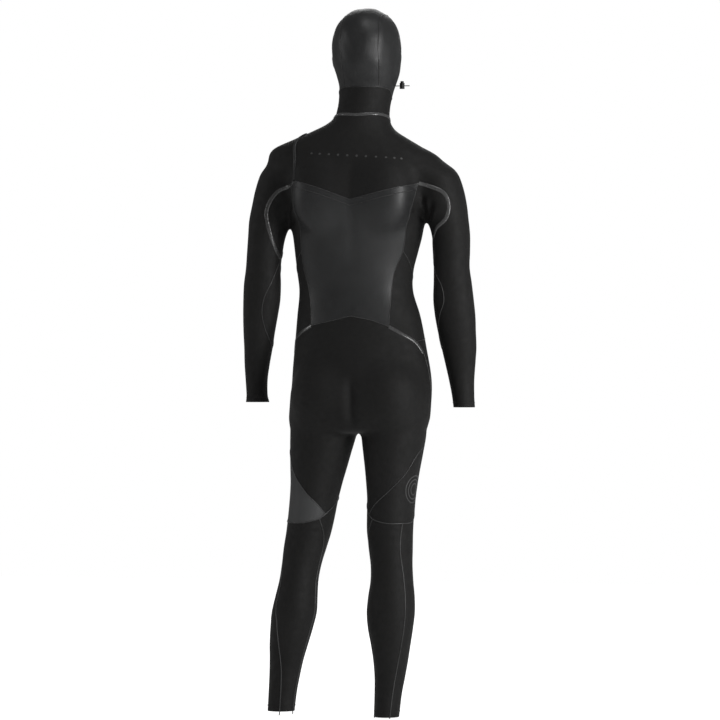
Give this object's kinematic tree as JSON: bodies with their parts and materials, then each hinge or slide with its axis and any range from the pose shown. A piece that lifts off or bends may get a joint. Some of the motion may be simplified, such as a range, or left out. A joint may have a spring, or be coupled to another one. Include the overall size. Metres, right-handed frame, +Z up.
{
  "type": "hooded full wetsuit",
  "caption": "Hooded full wetsuit with long sleeves and legs, a chest zip, taped seams, shaped knee panels and a hood drawcord with a lock.",
  "frame": {"origin": "centre of the neck seam, where the wearer's neck carries the suit", "axes": "+Z up along the standing wearer, the chest faces -Y, the wearer's left is +X"},
  "size_m": [0.5971, 0.2611, 1.778],
  "materials": {
    "jersey": "matte black nylon jersey laminated on foam rubber",
    "smooth_skin": "semi-gloss dark grey smooth-skin neoprene",
    "binding": "satin black edge binding",
    "grey_panel": "satin mid grey smooth-skin neoprene",
    "seam_tape": "glossy black liquid seam tape",
    "plastic": "moulded black",
    "metal": "satin",
    "cord": "woven black polyester"
  },
  "bodies": {
    "suit": {"collar": "jersey", "back_panel": "smooth_skin", "back_band": "smooth_skin", "chest_panel": "smooth_skin", "front_panel": "jersey", "seat_panel": "jersey", "yoke_right_sleeve": "jersey", "left_sleeve": "jersey", "neck_tape": "seam_tape", "zip_tape": "jersey", "shoulder_strip": "smooth_skin", "zip_teeth": "plastic", "zip_stop_left": "plastic", "zip_stop_right": "plastic", "underarm_left": "jersey", "side_panel_left": "jersey", "elbow_left": "jersey", "elbow_inner_left": "jersey", "knee_left": "jersey", "knee_back_left": "jersey", "underarm_tape_left": "seam_tape", "underarm_front_tape_left": "seam_tape", "waist_tape_left": "seam_tape", "underarm_right": "jersey", "side_panel_right": "jersey", "elbow_right": "jersey", "elbow_inner_right": "jersey", "knee_right": "jersey", "knee_back_right": "jersey", "underarm_tape_right": "seam_tape", "underarm_front_tape_right": "seam_tape", "waist_tape_right": "seam_tape", "lower_thigh_left": "grey_panel", "lower_thigh_right": "jersey"},
    "hood": {"hood_centre": "smooth_skin", "hood_side_left": "smooth_skin", "hood_side_right": "smooth_skin", "hood_face_binding": "binding", "hood_drawcord": "cord"},
    "forearm_left": {"forearm_left": "jersey", "forearm_inner_left": "jersey"},
    "forearm_right": {"forearm_right": "jersey", "forearm_inner_right": "jersey"},
    "lower_leg_left": {"shin_left": "jersey", "calf_left": "jersey"},
    "lower_leg_right": {"shin_right": "jersey", "calf_right": "jersey"},
    "zip_slider": {"zip_slider": "metal"},
    "zip_pull": {"zip_pull": "cord"},
    "cord_lock": {"cord_lock_barrel": "plastic", "cord_lock_spring": "metal"},
    "cord_lock_button": {"cord_lock_button": "plastic"}
  },
  "joints": [
    {"name": "elbow_left_bend", "type": "hinge", "parent": "suit", "child": "forearm_left", "pos_m": [0.261, -0.019, -0.412], "axis": [-1, 0, 0], "range_deg": [0, 90], "stiffness_Nm_per_rad": 0.5, "deforming": ["elbow_left", "elbow_inner_left"]},
    {"name": "elbow_right_bend", "type": "hinge", "parent": "suit", "child": "forearm_right", "pos_m": [-0.231, -0.019, -0.412], "axis": [-1, 0, 0], "range_deg": [0, 90], "stiffness_Nm_per_rad": 0.5, "deforming": ["elbow_right", "elbow_inner_right"]},
    {"name": "knee_left_bend", "type": "hinge", "parent": "suit", "child": "lower_leg_left", "pos_m": [0.146, 0, -1.072], "axis": [1, 0, 0], "range_deg": [0, 90], "stiffness_Nm_per_rad": 1, "deforming": ["knee_left", "knee_back_left"]},
    {"name": "knee_right_bend", "type": "hinge", "parent": "suit", "child": "lower_leg_right", "pos_m": [-0.071, 0, -1.072], "axis": [1, 0, 0], "range_deg": [0, 90], "stiffness_Nm_per_rad": 1, "deforming": ["knee_right", "knee_back_right"]},
    {"name": "hood_turn", "type": "hinge", "parent": "suit", "child": "hood", "pos_m": [-0.007, -0.014, 0.03], "axis": [0, 0, 1], "range_deg": [-30, 30], "stiffness_Nm_per_rad": 0.8, "deforming": ["collar"]},
    {"name": "zip_slide", "type": "hinge", "parent": "suit", "child": "zip_slider", "pos_m": [0.0227, 0.35896, -0.108], "axis": [0, 0, 1], "range_deg": [0, 26]},
    {"name": "zip_pull_swing", "type": "hinge", "parent": "zip_slider", "child": "zip_pull", "pos_m": [-0.0822, -0.08649, -0.10318], "axis": [-0.9734, 0.2292, 0], "range_deg": [0, 140]},
    {"name": "cord_lock_slide", "type": "slide", "parent": "hood", "child": "cord_lock", "axis": [-1, 0, 0], "range_m": [-0.004, 0.008]},
    {"name": "cord_lock_press", "type": "slide", "parent": "cord_lock", "child": "cord_lock_button", "axis": [0, 0, -1], "range_m": [0, 0.0022], "stiffness_N_per_m": 300, "springref_m": -0.0015, "deforming": ["cord_lock_spring"]}
  ]
}
